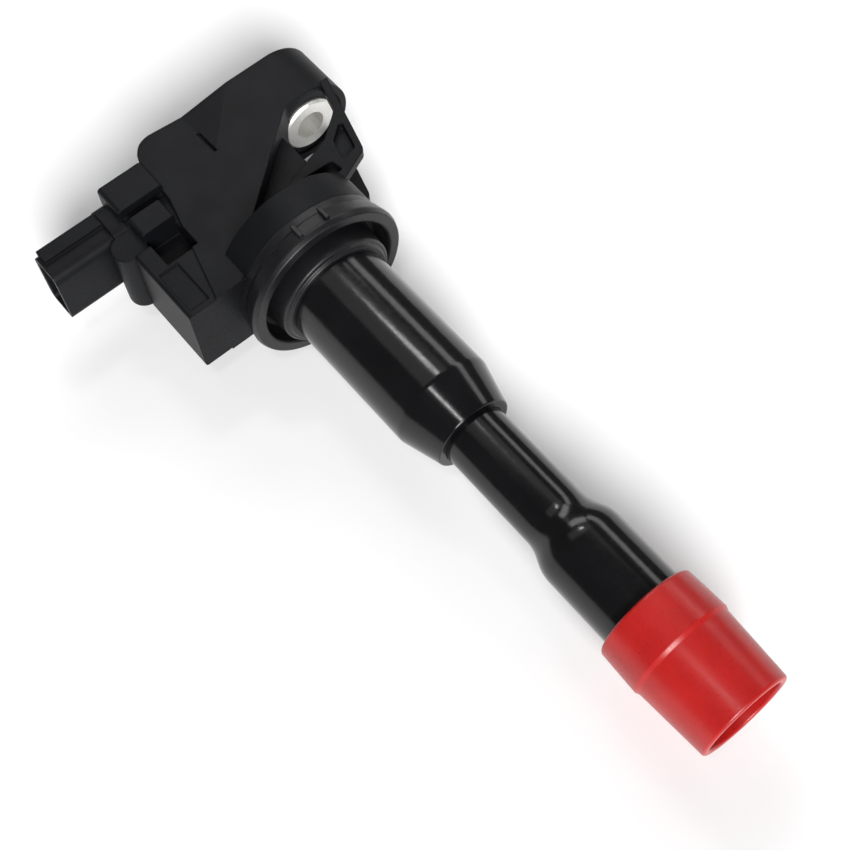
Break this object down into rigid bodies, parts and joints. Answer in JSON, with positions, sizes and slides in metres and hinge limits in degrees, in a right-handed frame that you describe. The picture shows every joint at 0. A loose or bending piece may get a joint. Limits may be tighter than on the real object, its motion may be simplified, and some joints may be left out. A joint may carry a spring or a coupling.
{
  "type": "ignition coil",
  "caption": "Coil-on-plug ignition coil: moulded head with connector and bolt ear, rubber well seal, stepped stem and red spark plug boot.",
  "frame": {"origin": "centre of the plug bore's mouth, on the stem's axis, inside the red boot", "axes": "+X along the stem's axis, out of the boot; +Y towards the bolt ear; -Y towards the connector; +Z out of the head's flat side"},
  "size_m": [0.1719, 0.0774, 0.0387],
  "materials": {
    "head_plastic": "fine-grained matte black",
    "tube_plastic": "glossy black",
    "seal_rubber": "satin black",
    "boot_silicone": "semi-gloss red",
    "bushing_steel": "pale satin",
    "terminal_brass": "tinned, satin",
    "resin": "cast resin, satin",
    "bobbin_plastic": "natural",
    "copper_wire": "enamelled",
    "core_steel": "laminated",
    "magnet": "dull",
    "heat_aluminium": "plain",
    "spring_steel": "drawn wire",
    "resistor_ceramic": "ceramic rod"
  },
  "bodies": {
    "coil": {"head_housing": "head_plastic", "mounting_bushing": "bushing_steel", "connector_body": "head_plastic", "terminal_supply": "terminal_brass", "terminal_ground": "terminal_brass", "terminal_trigger": "terminal_brass", "igniter_module": "resin", "igniter_heat_spreader": "heat_aluminium", "potting_resin": "resin", "well_seal": "seal_rubber", "coil_case": "tube_plastic", "stem_tube": "tube_plastic", "plug_boot": "boot_silicone", "core_sleeve": "core_steel", "centre_core": "core_steel", "core_magnet_head": "magnet", "core_magnet_plug": "magnet", "core_cushion": "seal_rubber", "primary_bobbin": "bobbin_plastic", "primary_winding": "copper_wire", "secondary_bobbin": "bobbin_plastic", "secondary_winding": "copper_wire", "tube_resin": "resin", "hv_terminal": "terminal_brass", "noise_resistor": "resistor_ceramic", "contact_spring": "spring_steel"},
    "spring_end": {"spring_contact": "spring_steel"}
  },
  "joints": [
    {"name": "spring_travel", "type": "slide", "parent": "coil", "child": "spring_end", "axis": [-1, 0, 0], "range_m": [0, 0.006], "stiffness_N_per_m": 400, "deforming": ["contact_spring"]}
  ]
}
